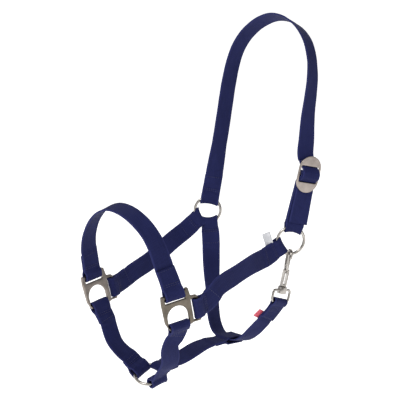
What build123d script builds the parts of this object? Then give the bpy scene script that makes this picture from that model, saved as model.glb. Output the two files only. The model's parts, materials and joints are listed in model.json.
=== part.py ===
from build123d import *
from math import cos, radians, sin
import os

# Horse head halter (headcollar) of flat nylon webbing, in the shape it takes on a head.
# Millimetres. +X points to the nose, +Y to the horse's left (near) side, +Z up.
# The origin is at the poll: the middle of the crown strap's inner face. The halter is laid
# out from a point POLL above it, and each part is moved up by POLL when it is exported.

os.makedirs("parts", exist_ok=True)

# ---------------------------------------------------------------- driving dimensions
WEB = 25.0                 # webbing width
THICK = 2.3                # thickness of one layer of webbing
PLAY = 0.4                 # free space between a webbing loop and the metal it holds
LAY = 0.1                  # space between two layers that lie on each other

WIRE = 2.0                 # radius of the ring wire
RING = 18.0                # radius of a ring's wire centre line

PLATE = 4.0                # thickness of the cheek squares
EYE = 13.5                 # half width of the squares' round-topped opening
EYE_LOW = -13.0            # its straight lower edge
SLOT = 6.0                 # clear height of a webbing slot in a square
BAR = 4.0                  # width of the bars that the webbing goes round
RIM = 6.0                  # width of the square's side walls

SLIDE_LONG = 48.0          # oval slide, overall height
SLIDE_WIDE = 33.0          # oval slide, overall width
SLIDE_THICK = 2.5
SLIDE_BAR = 4.5            # height of the slide's centre bar
SLIDE_INNER = WEB + 1.2    # clear width of its slots
SLIDE_SLOT = 10.8          # clear height of each of its two slots

POLL = 3.65                # from the crown strap's inner face up to the layout's zero
LEAD = 5.0                 # straight doubled webbing that carries the stitching
ROWS_AT = (1.0, 3.6)       # stitch rows, from the place where a loop's layers meet
ROW_WIDE = 0.6             # a row of thread along the strap
ROW_HEIGHT = 0.3
ROW_INSET = 2.0            # from the strap's edges to the ends of a row

RUN_STATIONS = 14          # cross sections along a free run of webbing


# ---------------------------------------------------------------- directions and frames
def heading(azimuth):
    """Level unit vector from its angle about Z, measured from +X."""
    return Vector(cos(radians(azimuth)), sin(radians(azimuth)), 0)


def upright_ring_frame(centre, azimuth):
    """Plane of a ring that hangs upright and faces the azimuth; local y is up."""
    return Plane(origin=centre, x_dir=heading(azimuth + 90), z_dir=heading(azimuth))


def square_frame(centre, rear, top):
    """Plane of a cheek square: local x to its rear bar, local y to its top bar."""
    x_dir = Vector(rear).normalized()
    face = x_dir.cross(Vector(top)).normalized()
    return Plane(origin=centre, x_dir=x_dir, z_dir=face)


def in_plane(plane, angle):
    """Unit vector in a plane at an angle from its local x."""
    return plane.x_dir * cos(radians(angle)) + plane.y_dir * sin(radians(angle))


near_ring_frame = upright_ring_frame((50, 76, -287), 56)
off_ring_frame = upright_ring_frame((50, -76, -270), 47)
chin_ring_frame = Plane(origin=(233.5, 2, -441.5), x_dir=(0.95, 0, -0.3),
                        z_dir=(0.27, 0.23, 0.93))
near_square_frame = square_frame((253, 74, -341), (-0.937, 0.304, 0.174), (0.166, -0.054, 0.985))
off_square_frame = square_frame((254, -74, -347), (-0.988, 0.02, 0.135), (0.13, -0.17, 0.963))


# ---------------------------------------------------------------- webbing ends
class End:
    """A sewn loop at the end of a strap. frame is in the middle of the bar, its x_dir runs
    outward along the strap and its z_dir along the bar. reach is how far the inside of the
    loop turns behind the bar's middle, far is where its two layers start to close, and
    half_gap is half the space between them."""

    def __init__(self, frame, reach, far, half_gap, width):
        self.frame = frame
        self.reach = reach
        self.far = far
        self.half_gap = half_gap
        self.width = width
        self.close = far + 7.0
        self.lead = self.close + LEAD
        self.start = frame.origin + frame.x_dir * (self.lead - 0.8)


def ring_end(ring_frame, angle, width, swing=0.0, side=0.0):
    """Loop on a round ring. The webbing lies straight across the wire's inner side, side
    is how far it sits off the middle of that chord, and swing turns the strap out of the
    ring's plane."""
    outward = in_plane(ring_frame, angle)
    along = in_plane(ring_frame, angle + 90)
    inner = RING - WIRE
    sag = inner - (inner ** 2 - (width / 2 + abs(side)) ** 2) ** 0.5
    direction = outward * cos(radians(swing)) + ring_frame.z_dir * sin(radians(swing))
    shift = along.cross(direction) * (-sag * sin(radians(swing)) / 2)
    frame = Plane(origin=ring_frame.origin + outward * RING + along * side + shift,
                  x_dir=direction, z_dir=along)
    return End(frame, sag * cos(radians(swing)) + WIRE + 2 * PLAY, WIRE + PLAY,
               WIRE + PLAY + sag * abs(sin(radians(swing))) / 2, width)


TOP_BAR = 11.5 + RIM - 1.0 + SLOT          # lower edge of the top bar in a square
REAR_BAR = EYE + RIM + SLOT                # front edge of the rear bar
BOTTOM_BAR = -EYE_LOW                      # upper edge of the bottom bar, below the centre


def square_end(square, side, width=WEB, swing=0.0):
    """Loop round the top, rear or bottom bar of a cheek square. swing turns the strap out
    of the square's plane."""
    outward, along, bar = {
        "top": (square.y_dir, square.x_dir, TOP_BAR),
        "rear": (square.x_dir, square.y_dir, REAR_BAR),
        "bottom": (square.y_dir * -1, square.x_dir, BOTTOM_BAR),
    }[side]
    turn = radians(swing)
    direction = outward * cos(turn) + square.z_dir * sin(turn)
    half = BAR / 2 * cos(turn) + PLATE / 2 * abs(sin(turn))
    frame = Plane(origin=square.origin + outward * (bar + BAR / 2), x_dir=direction, z_dir=along)
    return End(frame, half + 4 * PLAY, half + 2 * PLAY, half + PLAY, width)


def sewn_loop(end):
    """The closed loop of webbing seen from its side, to be given the strap's width."""
    outer = end.half_gap + THICK
    arc_at = end.half_gap - end.reach
    with BuildSketch(end.frame) as loop:
        with BuildLine():
            Polyline((arc_at, outer), (end.far, outer), (end.close, THICK), (end.lead, THICK),
                     (end.lead, -THICK), (end.close, -THICK), (end.far, -outer),
                     (arc_at, -outer))
            ThreePointArc((arc_at, -outer), (arc_at - outer, 0), (arc_at, outer))
        make_face()
        with BuildLine():
            Polyline((arc_at, end.half_gap), (end.far, end.half_gap), (end.close - 2, 0),
                     (end.far, -end.half_gap), (arc_at, -end.half_gap))
            ThreePointArc((arc_at, -end.half_gap), (-end.reach, 0), (arc_at, end.half_gap))
        make_face(mode=Mode.SUBTRACT)
    return loop.sketch


def blend(values, t):
    """Value at t in 0..1 of evenly spaced numbers or vectors."""
    place = t * (len(values) - 1)
    i = min(int(place), len(values) - 2)
    return values[i] * (1 - (place - i)) + values[i + 1] * (place - i)


def cross_plane(line, across, mark):
    """Plane across a strap: local x along its width, y out of its face, z along it."""
    tangent = line % mark
    wide = blend(across, mark)
    wide = (wide - tangent * wide.dot(tangent)).normalized()
    return Plane(origin=line @ mark, x_dir=wide, z_dir=tangent)


def run_sections(line, across, widths, sewn, stations):
    """Cross sections of a strap between its ends. across lists its width direction along
    the run, widths its width, and sewn the doubled length at either end."""
    step = 1.0 / line.length
    doubled = sewn[0] * step, 1 - sewn[1] * step
    marks = [i / (stations - 1) for i in range(stations)]
    if sewn[0]:
        marks += [doubled[0], doubled[0] + step]
    if sewn[1]:
        marks += [doubled[1] - step, doubled[1]]
    sections = []
    for mark in sorted(marks):
        single = doubled[0] + step / 2 < mark < doubled[1] - step / 2
        with BuildSketch(cross_plane(line, across, mark)) as section:
            Rectangle(blend(widths, mark), THICK if single else 2 * THICK)
        sections.append(section.sketch.faces()[0])
    return sections


def export(piece, label):
    placed = piece.part.moved(Location((0, 0, POLL)))
    placed.label = label
    export_step(placed, f"parts/{label}.step")


def stitch_rows(label, end_frames):
    """Rows of thread across the doubled ends, on both faces. end_frames lists planes on
    the webbing's middle, with x across the strap and z along it, and the strap's width."""
    with BuildPart() as stitching:
        for frame, width in end_frames:
            for face in (1, -1):
                middle = frame.origin + frame.y_dir * face * (THICK + ROW_HEIGHT / 2 + 0.05)
                with BuildSketch(Plane(origin=middle, x_dir=frame.x_dir, z_dir=frame.z_dir)):
                    Rectangle(width - 2 * ROW_INSET, ROW_HEIGHT)
                extrude(amount=ROW_WIDE / 2, both=True)
    export(stitching, label)


def row_frames(end):
    """Planes of the stitch rows beside a sewn loop, where the two layers lie flat."""
    frames = []
    for distance in ROWS_AT:
        origin = end.frame.origin + end.frame.x_dir * (end.close + distance)
        frames.append((Plane(origin=origin, x_dir=end.frame.z_dir, z_dir=end.frame.x_dir),
                       end.width))
    return frames


def strap(label, end_a, end_b, through, across_between, width_between=(WEB, WEB),
          sewn=(18.0, 18.0), stations=RUN_STATIONS):
    """A strap with a sewn loop at both ends, and its stitching. Returns the middle line
    and the width directions of the run."""
    across_a = end_a.frame.z_dir
    across_b = end_b.frame.z_dir
    if across_a.dot(across_between[0]) < 0:
        across_a = across_a * -1
    if across_b.dot(across_between[-1]) < 0:
        across_b = across_b * -1
    across = [across_a, *across_between, across_b]
    line = Spline(end_a.start, *through, end_b.start,
                  tangents=(end_a.frame.x_dir, end_b.frame.x_dir * -1), mode=Mode.PRIVATE)
    sections = run_sections(line, across, [end_a.width, *width_between, end_b.width],
                            sewn, stations)
    loop_a = sewn_loop(end_a)
    loop_b = sewn_loop(end_b)
    with BuildPart() as piece:
        extrude(loop_a, amount=end_a.width / 2, both=True)
        extrude(loop_b, amount=end_b.width / 2, both=True)
        loft(sections, ruled=True)
    export(piece, label)
    stitch_rows(label + "_stitching", row_frames(end_a) + row_frames(end_b))
    return line, across


# ---------------------------------------------------------------- rings
for label, frame in (("near_cheek_ring", near_ring_frame), ("off_cheek_ring", off_ring_frame),
                     ("chin_ring", chin_ring_frame)):
    section = Plane(origin=frame.origin + frame.x_dir * RING, x_dir=frame.x_dir, z_dir=frame.y_dir)
    with BuildPart() as ring:
        with BuildSketch(section):
            Circle(WIRE)
        revolve(axis=Axis(frame.origin, frame.z_dir))
    export(ring, label)


# ---------------------------------------------------------------- cheek squares
def cheek_square(label, frame):
    """Cast fitting with a round-topped opening, a top and a rear webbing slot and ears."""
    left = -EYE - RIM + 1
    top_slot = TOP_BAR - SLOT
    rear_slot = REAR_BAR - SLOT
    right = REAR_BAR + BAR
    top = TOP_BAR + BAR
    bottom = EYE_LOW - BAR
    half_web = WEB / 2 + 0.8
    with BuildPart() as square:
        with BuildSketch(frame):
            with BuildLine():
                Polyline((left, top_slot + 1), (left + 1, top + 0.5), (left + 4, top + 0.5),
                         (left + 5.5, top), (half_web, top), (half_web + 1.5, top + 2),
                         (half_web + 5, top + 1.5), (rear_slot + 0.5, half_web + 4.5),
                         (right - 2, half_web + 3.5), (right, half_web), (right, -half_web),
                         (right - 0.5, -half_web - 3), (rear_slot, -half_web - 2.5),
                         (EYE + 2, bottom), (-EYE + 0.5, bottom), (left + 1, EYE_LOW + 6),
                         (left, top_slot + 1))
            make_face()
            with BuildLine():
                Line((-EYE, EYE_LOW), (EYE, EYE_LOW))
                Line((EYE, EYE_LOW), (EYE, -1))
                ThreePointArc((EYE, -1), (0, top_slot - RIM + 0.3), (-EYE, -1))
                Line((-EYE, -1), (-EYE, EYE_LOW))
            make_face(mode=Mode.SUBTRACT)
            with Locations((0, top_slot + SLOT / 2)):
                Rectangle(2 * half_web, SLOT, mode=Mode.SUBTRACT)
            with Locations((rear_slot + SLOT / 2, 0)):
                Rectangle(SLOT, 2 * half_web, mode=Mode.SUBTRACT)
        extrude(amount=PLATE / 2, both=True)
    export(square, label)


cheek_square("near_cheek_square", near_square_frame)
cheek_square("off_cheek_square", off_square_frame)


# ---------------------------------------------------------------- straps between fittings
near_cheek, near_cheek_across = strap(
    "near_cheek_strap", square_end(near_square_frame, "rear", swing=-22),
    ring_end(near_ring_frame, 205, 22, swing=32),
    [Vector(200.6, 84, -322.8), Vector(171, 84, -311.4), Vector(124.5, 79, -303)],
    [Vector(0.45, -0.1, 0.9), Vector(0.3, -0.05, 0.93), Vector(0.25, -0.15, 0.93)],
    (WEB, WEB, WEB, WEB))

strap("off_cheek_strap", square_end(off_square_frame, "rear", swing=-20),
      ring_end(off_ring_frame, 218, 16, swing=22, side=-3.5),
      [Vector(185.5, -80, -333.4), Vector(150.6, -83, -323.8), Vector(115, -84, -306.5)],
      [Vector(0.3, -0.2, 0.93), Vector(0.3, -0.35, 0.9), Vector(0.4, -0.5, 0.75)],
      (WEB,) * 6)

strap("noseband", square_end(near_square_frame, "top", swing=-20),
      square_end(off_square_frame, "top", swing=8),
      [Vector(259.5, 60, -287), Vector(267, 43.5, -247.5), Vector(277.5, 0, -220.5),
       Vector(275, -47, -242), Vector(268.7, -69.7, -276)],
      [Vector(-0.98, 0.04, 0.2), Vector(-0.977, 0, 0.214), Vector(-0.97, -0.12, 0.2)],
      (WEB, WEB, WEB), stations=26)


# ---------------------------------------------------------------- crown, slide and adjuster
NEAR_LEAN = 77.5                           # direction of the adjuster strap in its ring's plane
strap_up = in_plane(near_ring_frame, NEAR_LEAN)
strap_wide = in_plane(near_ring_frame, NEAR_LEAN - 90)
side_frame = Plane(origin=near_ring_frame.origin, x_dir=strap_up, z_dir=strap_wide)


def near_side(u, n):
    """Point on the near side above its ring: u along the strap from the ring's centre and
    n outward from the ring's plane."""
    return near_ring_frame.origin + strap_up * u + near_ring_frame.z_dir * n


SLIDE_AT = 90.0                            # centre of the slide's bar above the ring's centre
TAIL_LAYER = THICK + LAY + THICK / 2       # the crown strap's tail lies on the adjuster
SLIDE_BACK = TAIL_LAYER + THICK / 2 + 0.4  # back face of the slide
SLIDE_MID = SLIDE_BACK + SLIDE_THICK / 2
FOLD_GAP = SLIDE_THICK / 2 + 0.3           # half space inside the adjuster's top loop
BAR_BACK = SLIDE_MID - FOLD_GAP - THICK / 2
BAR_FRONT = SLIDE_MID + FOLD_GAP + THICK / 2
CROWN_FRONT = BAR_FRONT + THICK + LAY
bar_top = SLIDE_AT + SLIDE_BAR / 2
bar_low = SLIDE_AT - SLIDE_BAR / 2
fold_low = 8.05                            # middle of the webbing where it turns in the ring
ring_gap = WIRE + PLAY + THICK / 2


def side_path(points, radii):
    """Middle of the webbing seen from its edge: a rounded path given as (u, n) pairs."""
    with BuildLine() as path:
        FilletPolyline(*points, radius=radii)
    return path.line


front_layer = side_path([(fold_low, 0), (fold_low, ring_gap), (20.6, ring_gap), (27, THICK / 2),
                         (bar_low - 9.1, THICK / 2), (bar_low - 0.85, BAR_FRONT),
                         (bar_top + 1.45, BAR_FRONT), (bar_top + 1.45, SLIDE_MID)],
                        [3.4, 5, 5, 4, 3, 2.6])
back_layer = side_path([(fold_low, 0), (fold_low, -ring_gap), (20.6, -ring_gap),
                        (27, -THICK / 2), (bar_low - 9.1, -THICK / 2), (bar_low - 1.75, BAR_BACK),
                        (bar_top + 1.45, BAR_BACK), (bar_top + 1.45, SLIDE_MID)],
                       [3.4, 5, 5, 4, 4, 2.6])
with BuildPart() as near_adjuster_strap:
    with BuildSketch(side_frame):
        trace(front_layer, line_width=THICK)
        trace(back_layer, line_width=THICK)
    extrude(amount=WEB / 2, both=True)
export(near_adjuster_strap, "near_adjuster_strap")
adjuster_row = Plane(origin=near_side(28.3, 0), x_dir=strap_wide, z_dir=strap_up)
stitch_rows("near_adjuster_strap_stitching", [(adjuster_row, WEB)])

off_crown_end = ring_end(off_ring_frame, 80, WEB)
top_lean = radians(25)                     # the strap turns inward behind the slide's upper rim
top_bend = bar_top + 10.0
top_u = top_bend + 6 * cos(top_lean)
top_n = TAIL_LAYER - 6 * sin(top_lean)
threaded = side_path([(top_u, top_n), (top_bend, TAIL_LAYER), (bar_top + 0.9, CROWN_FRONT),
                      (bar_low - 1.85, CROWN_FRONT), (bar_low - 10.2, TAIL_LAYER),
                      (29, TAIL_LAYER)],
                     [3, 4, 4, 4])
crown_line = Spline(
    off_crown_end.start, (22.5, -71.5, -131), (15, -69, -90), (5.5, -56.5, -38.5),
    (0.5, -23, -9), (0, 0, THICK / 2 - POLL), (1.5, 26, -6), (5, 55, -27), (13, 74.5, -70),
    (20.7, 78, -130), (30, 82.8, -164), near_side(top_u, top_n),
    tangents=(off_crown_end.frame.x_dir,
              near_ring_frame.z_dir * sin(top_lean) - strap_up * cos(top_lean)
              + strap_wide * 0.25),
    mode=Mode.PRIVATE)
crown_across = [off_crown_end.frame.z_dir, Vector(0.97, -0.2, 0.12), Vector(0.96, -0.2, 0.2),
                Vector(0.95, -0.1, 0.26), Vector(0.9, 0, 0.42), Vector(0.92, 0.05, 0.36),
                Vector(0.97, 0.18, 0.1), Vector(0.98, -0.05, 0.05), Vector(0.83, -0.56, -0.04)]
crown_sections = run_sections(crown_line, crown_across, [WEB, WEB], (18.0, 0.0), 36)
crown_loop = sewn_loop(off_crown_end)
with BuildPart() as crown_strap:
    with BuildSketch(side_frame):
        trace(threaded, line_width=THICK)
    extrude(amount=WEB / 2, both=True)
    extrude(crown_loop, amount=WEB / 2, both=True)
    loft(crown_sections, ruled=True)
export(crown_strap, "crown_strap")
stitch_rows("crown_strap_stitching", row_frames(off_crown_end))

slide_frame = Plane(origin=near_side(SLIDE_AT, SLIDE_MID), x_dir=strap_wide,
                    z_dir=near_ring_frame.z_dir)
with BuildPart() as oval_slide:
    with BuildSketch(slide_frame):
        SlotOverall(SLIDE_LONG, SLIDE_WIDE, rotation=90)
        for side in (1, -1):
            with Locations((0, side * (SLIDE_BAR + SLIDE_SLOT) / 2)):
                Rectangle(SLIDE_INNER, SLIDE_SLOT, mode=Mode.SUBTRACT)
    extrude(amount=SLIDE_THICK / 2, both=True)
    bar_edges = oval_slide.edges().filter_by(
        lambda e: abs(e.length - SLIDE_INNER) < 0.01
        and abs((e.center() - slide_frame.origin).dot(slide_frame.y_dir)) < SLIDE_BAR)
    fillet(bar_edges, 1.0)
export(oval_slide, "oval_slide")


# ---------------------------------------------------------------- chin straps
strap("near_chin_strap", square_end(near_square_frame, "bottom", swing=-38),
      ring_end(chin_ring_frame, 82, 21, swing=62),
      [Vector(250, 62, -383), Vector(247, 56.5, -398), Vector(244, 47, -414)],
      [Vector(-0.96, 0.12, 0), Vector(-0.95, 0.2, 0), Vector(-0.93, 0.3, 0.1)],
      (WEB, WEB, WEB), sewn=(6.0, 6.0))
strap("off_chin_strap", square_end(off_square_frame, "bottom", swing=24),
      ring_end(chin_ring_frame, -86, 24, swing=34),
      [Vector(248.3, -60, -386.5), Vector(247, -44, -406.5)],
      [Vector(-1, 0, 0), Vector(-1, 0, 0)], sewn=(8.0, 6.0))


# ---------------------------------------------------------------- snap hook
HOOK_AT = 267.0            # where the hook hangs on the near ring
HOOK_WIRE = 2.2            # radius of the hook's stock
BIGHT = 5.0                # inner radius of the hook's bight
BODY_TOP = -21.0           # body of the snap, along its axis from the ring's wire
BODY_END = -44.0
RAIL = 1.9                 # thickness of the two rails of the body
RAIL_GAP = 3.2             # slot between the rails
BODY_DEEP = 4.4            # the rails' depth
GATE_PIN = (2.6, -24.0)    # gate pin, in the hook's plane
GATE_WIDE = 2.8
PIN = 1.0                  # radius of the gate pin
NECK = 2.0                 # radius of the swivel stud's neck
COLLAR = 6.0               # outer radius of the eye's collar
COLLAR_LONG = 9.0
EYE_WIRE = 1.7             # radius of the eye's wire
EYE_INNER = WEB + 1.4      # clear width of the eye
EYE_LONG = 15.0            # from the collar's middle to the bar's middle

hook_tangent = in_plane(near_ring_frame, HOOK_AT + 90)
hook_point = near_ring_frame.origin + in_plane(near_ring_frame, HOOK_AT) * RING
hang = Vector(0.215, -0.065, -0.975).normalized()
snap_frame = Plane(origin=hook_point, x_dir=hang.cross(hook_tangent), z_dir=hang.cross(
    hang.cross(hook_tangent)))


def snap_point(x, y, z=0.0):
    """Point of the snap: x to the gate, y up its axis to the bight, z across."""
    return (snap_frame.origin + snap_frame.x_dir * x + snap_frame.y_dir * y
            + snap_frame.z_dir * z)


bight_y = WIRE + PLAY - BIGHT              # centre of the bight
hook_mid = BIGHT + HOOK_WIRE
with BuildLine(snap_frame) as hook_line:
    Line((-2.0, BODY_TOP - 1.5), (-hook_mid + 1.5, BODY_TOP + 4))
    Line((-hook_mid + 1.5, BODY_TOP + 4), (-hook_mid, BODY_TOP + 9))
    Line((-hook_mid, BODY_TOP + 9), (-hook_mid, bight_y))
    ThreePointArc((-hook_mid, bight_y), (0, bight_y + hook_mid), (hook_mid, bight_y))
    Line((hook_mid, bight_y), (hook_mid, bight_y - 3.0))
with BuildPart() as snap_body:
    with BuildSketch(Plane(origin=hook_line.line @ 0, z_dir=hook_line.line % 0)):
        Circle(HOOK_WIRE)
    sweep(path=hook_line.line, transition=Transition.ROUND)
    block_high = BODY_TOP - BODY_END
    body_plane = Plane(origin=snap_point(-0.4, (BODY_TOP + BODY_END) / 2),
                       x_dir=snap_frame.x_dir, z_dir=snap_frame.z_dir)
    with BuildSketch(body_plane):
        RectangleRounded(BODY_DEEP * 2 - 0.8, block_high, 1.5)
    extrude(amount=RAIL_GAP / 2 + RAIL, both=True)
    with BuildSketch(Plane(origin=snap_point(0, BODY_END + 2.5 + (block_high - 8) / 2),
                           x_dir=snap_frame.z_dir, z_dir=snap_frame.x_dir)):
        Rectangle(RAIL_GAP, block_high - 8)
    extrude(amount=20, both=True, mode=Mode.SUBTRACT)
    with BuildSketch(Plane(origin=snap_point(9.0, BODY_TOP - 2),
                           x_dir=snap_frame.z_dir, z_dir=snap_frame.x_dir)):
        Rectangle(RAIL_GAP, 12)
    extrude(amount=9.6, both=True, mode=Mode.SUBTRACT)
    with BuildSketch(Plane(origin=snap_point(*GATE_PIN), x_dir=snap_frame.x_dir,
                           z_dir=snap_frame.z_dir)):
        Circle(PIN + 0.03)
    extrude(amount=10, both=True, mode=Mode.SUBTRACT)
    with BuildSketch(Plane(origin=snap_point(0, BODY_END + 0.5), x_dir=snap_frame.x_dir,
                           z_dir=snap_frame.y_dir * -1)):
        Circle(NECK)
    extrude(amount=7.5)
    with BuildSketch(Plane(origin=snap_point(0, BODY_END - 4.6), x_dir=snap_frame.x_dir,
                           z_dir=snap_frame.y_dir * -1)):
        Circle(3.8)
    extrude(amount=2.4)
export(snap_body, "snap_body")

with BuildPart() as gate_pin:
    with BuildSketch(Plane(origin=snap_point(*GATE_PIN), x_dir=snap_frame.x_dir,
                           z_dir=snap_frame.z_dir)):
        Circle(PIN)
    extrude(amount=RAIL_GAP / 2 + RAIL + 0.2, both=True)
export(gate_pin, "gate_pin")

gate_tip_x = BIGHT - 1.3                   # the gate closes on the inside of the hook's tip
gate_tip_y = bight_y - 1.0
with BuildPart() as snap_gate:
    with BuildSketch(snap_frame):
        with Locations(GATE_PIN):
            Circle(2.0)
        with BuildLine():
            Polyline((GATE_PIN[0] - 1.2, GATE_PIN[1]), (gate_tip_x - 1.1, gate_tip_y),
                     (gate_tip_x + 1.0, gate_tip_y), (GATE_PIN[0] + 1.9, GATE_PIN[1]), close=True)
        make_face()
        with Locations(GATE_PIN):
            Circle(PIN + 0.05, mode=Mode.SUBTRACT)
    extrude(amount=GATE_WIDE / 2, both=True)
    # room for the spring's coils beside the hub
    with BuildSketch(Plane(origin=snap_point(GATE_PIN[0], GATE_PIN[1], 0.2),
                           x_dir=snap_frame.x_dir, z_dir=snap_frame.z_dir)):
        Circle(2.3)
    extrude(amount=2, mode=Mode.SUBTRACT)
export(snap_gate, "snap_gate")

with BuildPart() as gate_spring:
    with BuildSketch(Plane(origin=snap_point(GATE_PIN[0], GATE_PIN[1], 0.3),
                           x_dir=snap_frame.x_dir, z_dir=snap_frame.z_dir)):
        Circle(1.9)
        Circle(PIN + 0.1, mode=Mode.SUBTRACT)
    extrude(amount=1.1)
export(gate_spring, "gate_spring")

collar_top = BODY_END - 0.4
collar_mid = collar_top - COLLAR_LONG / 2
eye_across = Vector(-0.95, 0.10, -0.21)
eye_across = (eye_across - hang * eye_across.dot(hang)).normalized()
eye_frame = Plane(origin=snap_point(0, collar_mid), x_dir=eye_across,
                  z_dir=eye_across.cross(hang * -1))
half_eye = (EYE_INNER + 2 * EYE_WIRE) / 2
EYE_DOWN = -1 if eye_frame.y_dir.dot(hang) < 0 else 1
bow_corner = 3.0
with BuildLine(eye_frame) as bow:
    FilletPolyline((COLLAR - 1.0, 0), (half_eye, 0), (half_eye, EYE_DOWN * EYE_LONG),
                   (-half_eye, EYE_DOWN * EYE_LONG), (-half_eye, 0), (-COLLAR + 1.0, 0),
                   radius=bow_corner)
with BuildPart() as snap_eye:
    with BuildSketch(Plane(origin=bow.line @ 0, z_dir=bow.line % 0)):
        Circle(EYE_WIRE)
    sweep(path=bow.line)
    with BuildSketch(Plane(origin=snap_point(0, collar_top), x_dir=snap_frame.x_dir,
                           z_dir=hang)):
        Circle(COLLAR)
    extrude(amount=COLLAR_LONG)
    with BuildSketch(Plane(origin=snap_point(0, collar_top - 3.2), x_dir=snap_frame.x_dir,
                           z_dir=hang)):
        Circle(4.4)
    extrude(amount=COLLAR_LONG, mode=Mode.SUBTRACT)
    with BuildSketch(Plane(origin=snap_point(0, collar_top + 1), x_dir=snap_frame.x_dir,
                           z_dir=hang)):
        Circle(NECK + 0.08)
    extrude(amount=COLLAR_LONG, mode=Mode.SUBTRACT)
export(snap_eye, "snap_eye")


# ---------------------------------------------------------------- throat and jaw straps
eye_bar = snap_point(0, collar_mid) + hang * EYE_LONG
inward = eye_across.cross(hang)
if inward.Y > 0:
    inward = inward * -1
strap_out = (hang * cos(radians(28)) + inward * sin(radians(28))).normalized()
eye_end = End(Plane(origin=eye_bar, x_dir=strap_out, z_dir=eye_across),
              EYE_WIRE + PLAY, EYE_WIRE + PLAY, EYE_WIRE + PLAY, WEB)
throat_belt = Vector(-0.979, 0, -0.204)
throat, throat_across = strap(
    "throat_strap", ring_end(off_ring_frame, 275, 16, side=4.5), eye_end,
    [Vector(56.7, -62, -341.5), Vector(71.7, -45, -386), Vector(83, -16, -430.2),
     Vector(83.2, 0, -431.3), Vector(83, 16, -430.2), Vector(77, 47, -404)],
    [Vector(-0.85, 0.45, 0), throat_belt, throat_belt, throat_belt, Vector(-0.93, 0.3, -0.2)],
    (WEB,) * 8, stations=24)

jaw_hold = Plane(origin=(83.2, 0, -431.3), x_dir=(0.995, 0, 0.1), z_dir=(0, 1, 0))
jaw_end = End(jaw_hold, WEB / 2 + 1.8, WEB / 2 + 1.2, THICK / 2 + 1.7, 22.0)
strap("jaw_strap", jaw_end, ring_end(chin_ring_frame, 180, 16, swing=-15),
      [Vector(141, 1, -427), Vector(170, 2, -432)],
      [Vector(0, 0.96, -0.25)], (WEB,), sewn=(14.0, 10.0))


# ---------------------------------------------------------------- labels
def label_tab(label, plane, size, thick, offset):
    """A thin tab on a cross plane of a strap: size along and across the strap, offset
    across it and out of its face."""
    with BuildPart() as tab:
        with BuildSketch(Plane(origin=plane.origin + plane.x_dir * offset[0]
                               + plane.y_dir * offset[1],
                               x_dir=plane.z_dir, z_dir=plane.y_dir)):
            RectangleRounded(*size, 0.8)
        extrude(amount=thick / 2, both=True)
    export(tab, label)


label_plane = cross_plane(near_cheek, near_cheek_across, 0.93)
label_tab("care_label", label_plane, (11.0, 19.0), 0.5, (19.5, -THICK - 0.5))
tag_plane = cross_plane(throat, throat_across, 0.925)
label_tab("edge_tag", tag_plane, (12.0, 14.0), 1.2, (-14.0, THICK + 0.9))
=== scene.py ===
"""Looks of the horse head halter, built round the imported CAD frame.

Lengths below are millimetres with +X to the nose, +Y to the near side and +Z up, laid out
from a point POLL above the frame's origin, as in the CAD model. A mesh is moved up by POLL
and scaled to metres when it is made.
"""
import json
import math

import bmesh
import bpy
import numpy as np
from mathutils import Matrix, Vector

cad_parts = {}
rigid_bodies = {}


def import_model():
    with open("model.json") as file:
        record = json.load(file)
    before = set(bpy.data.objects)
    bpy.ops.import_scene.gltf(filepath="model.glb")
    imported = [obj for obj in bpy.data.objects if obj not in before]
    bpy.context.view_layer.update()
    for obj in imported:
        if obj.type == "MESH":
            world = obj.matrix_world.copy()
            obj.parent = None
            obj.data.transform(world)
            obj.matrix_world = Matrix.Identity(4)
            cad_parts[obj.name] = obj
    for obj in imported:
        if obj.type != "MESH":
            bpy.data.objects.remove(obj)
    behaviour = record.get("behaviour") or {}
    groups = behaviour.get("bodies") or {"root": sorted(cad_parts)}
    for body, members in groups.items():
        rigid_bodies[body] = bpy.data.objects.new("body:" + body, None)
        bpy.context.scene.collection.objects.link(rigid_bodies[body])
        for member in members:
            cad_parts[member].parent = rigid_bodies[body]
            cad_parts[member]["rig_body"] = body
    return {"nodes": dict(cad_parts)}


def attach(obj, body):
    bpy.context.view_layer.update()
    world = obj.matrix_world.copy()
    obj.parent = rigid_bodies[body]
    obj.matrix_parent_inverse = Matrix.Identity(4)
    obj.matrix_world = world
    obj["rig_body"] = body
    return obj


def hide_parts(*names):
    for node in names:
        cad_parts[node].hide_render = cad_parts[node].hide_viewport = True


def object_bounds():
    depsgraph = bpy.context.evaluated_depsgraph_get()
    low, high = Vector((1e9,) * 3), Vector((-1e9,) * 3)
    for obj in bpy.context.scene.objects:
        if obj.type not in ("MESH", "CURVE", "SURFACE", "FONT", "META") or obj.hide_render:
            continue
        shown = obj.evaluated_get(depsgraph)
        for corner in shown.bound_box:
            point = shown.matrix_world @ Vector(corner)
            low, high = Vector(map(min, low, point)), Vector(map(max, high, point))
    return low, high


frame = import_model()
cad_box = [list(corner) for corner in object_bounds()]
scene = bpy.context.scene
MM = 0.001

# -------------------- dimensions, as in the CAD
WEB = 25.0                 # webbing width
THICK = 2.3                # one layer of webbing
HALF = THICK / 2           # from the middle of two sewn layers to the middle of either
LAY = 0.1                  # between layers that lie on each other
PLAY = 0.4                 # between webbing and metal
WIRE, RING = 2.0, 18.0     # a ring's wire and its middle line, radii
PLATE = 4.0                # thickness of a cheek square
EYE = 13.5                 # half width of its opening
EYE_TOP, EYE_LOW = 11.5, -13.0
SLOT, BAR = 6.0, 4.0       # clear height of a square's slot, and the bar beyond it
RIM = 6.0                  # metal between the opening and a slot
POLL = 3.65                # from the crown strap's inner face up to the layout's zero
SEWN = 18.0                # usual length of the turned-back layer
CLOSING = 7.0              # length over which a loop's layers come together
LEAD = 5.0                 # straight doubled webbing beside a loop
START = 0.8                # the run starts this much inside the straight part
TOP_BAR = EYE_TOP + RIM - 1.0 + SLOT
REAR_BAR = EYE + RIM + SLOT
BOTTOM_BAR = -EYE_LOW


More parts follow.
